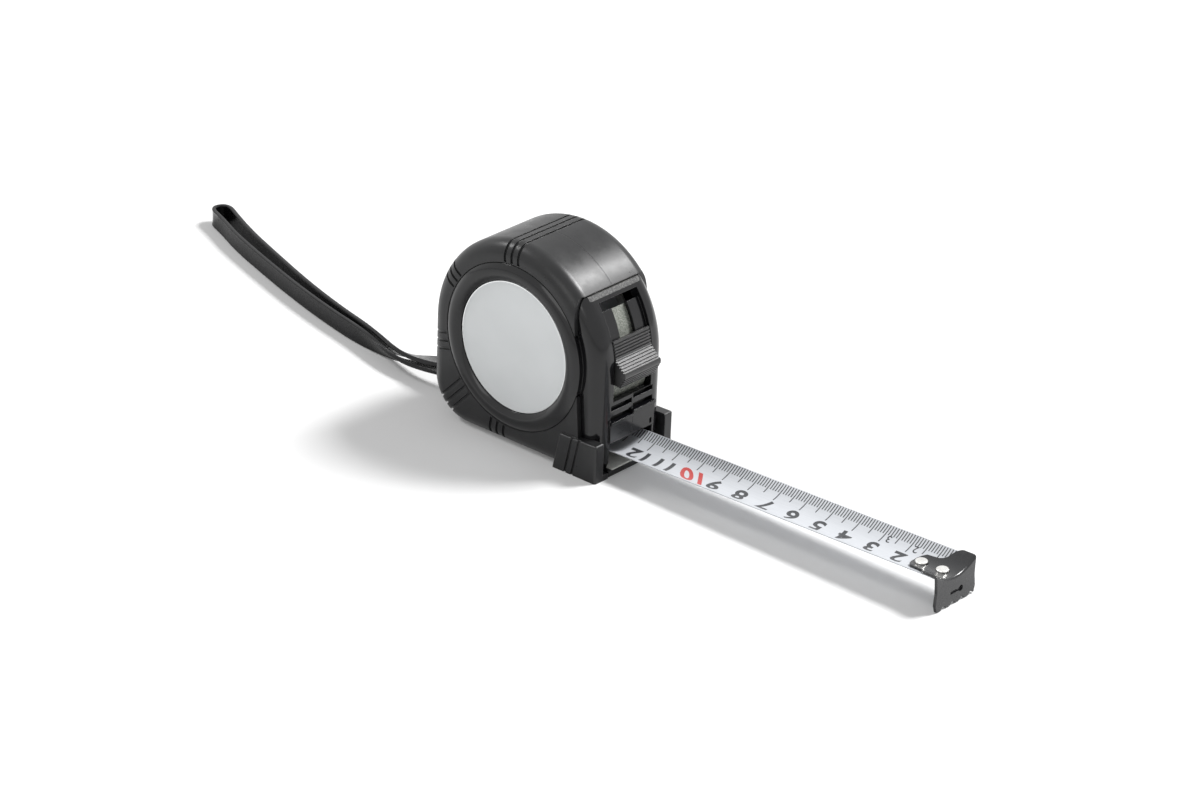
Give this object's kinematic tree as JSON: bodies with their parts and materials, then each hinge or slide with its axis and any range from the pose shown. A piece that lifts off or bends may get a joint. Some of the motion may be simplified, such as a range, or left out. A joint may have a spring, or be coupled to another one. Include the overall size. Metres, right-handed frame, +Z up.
{
  "type": "tape measure",
  "caption": "Pocket tape measure: rubber-jacketed case with thumb lock, printed steel blade partly pulled out, end hook, belt clip and wrist strap.",
  "frame": {"origin": "on the base plane, under the spool's axis, midway between the two sides", "axes": "+Z up, +X along the pulled-out blade towards the hook, +Y to the side with the belt clip"},
  "size_m": [0.3489, 0.0624, 0.0683],
  "materials": {
    "gloss_black": "gloss",
    "black_rubber": "satin",
    "silver_disc": "satin",
    "pale_plate": "satin",
    "bright_steel": "polished",
    "dark_steel": "satin",
    "clip_steel": "satin",
    "spool_plastic": "matte",
    "blade_print": "satin",
    "spring_steel": "satin",
    "hook_paint": "gloss",
    "speckled_grey": "matte",
    "knob_black": "satin",
    "pad_rubber": "matte",
    "strap_black": "gloss"
  },
  "bodies": {
    "case": {"right_shell": "gloss_black", "left_shell": "gloss_black", "right_jacket": "black_rubber", "left_jacket": "black_rubber", "silver_disc": "silver_disc", "mouth_plate": "pale_plate", "guide_pin": "bright_steel", "strap_pin": "bright_steel", "centre_post": "bright_steel", "case_screws": "dark_steel", "belt_clip": "clip_steel", "clip_screw": "dark_steel", "blade_lead": "blade_print", "wrist_strap": "strap_black"},
    "blade": {"blade": "blade_print", "hook_rivets": "bright_steel"},
    "hook": {"end_hook": "hook_paint"},
    "spool": {"spool_drum": "spool_plastic", "spool_cover": "spool_plastic", "blade_coil": "blade_print", "mainspring": "spring_steel"},
    "lock": {"thumb_lock": "knob_black", "lock_strip": "speckled_grey", "brake_pad": "pad_rubber"}
  },
  "joints": [
    {"name": "blade_pull", "type": "slide", "parent": "case", "child": "blade", "axis": [0.9997, 0, 0.0262], "range_m": [-0.1215, 0], "deforming": ["blade"]},
    {"name": "hook_play", "type": "slide", "parent": "blade", "child": "hook", "axis": [0.9997, 0, 0.0262], "range_m": [-0.001, 0]},
    {"name": "spool_turn", "type": "hinge", "parent": "case", "child": "spool", "pos_m": [0, 0, 0.034], "axis": [0, 1, 0], "range_deg": [0, 292], "deforming": ["mainspring"]},
    {"name": "lock_slide", "type": "hinge", "parent": "case", "child": "lock", "pos_m": [0, 0, 0.034], "axis": [0, -1, 0], "range_deg": [0, 10]}
  ],
  "couplings": [
    {"joint": "spool_turn", "follows": "blade_pull", "rad_per_m": -41.667}
  ]
}
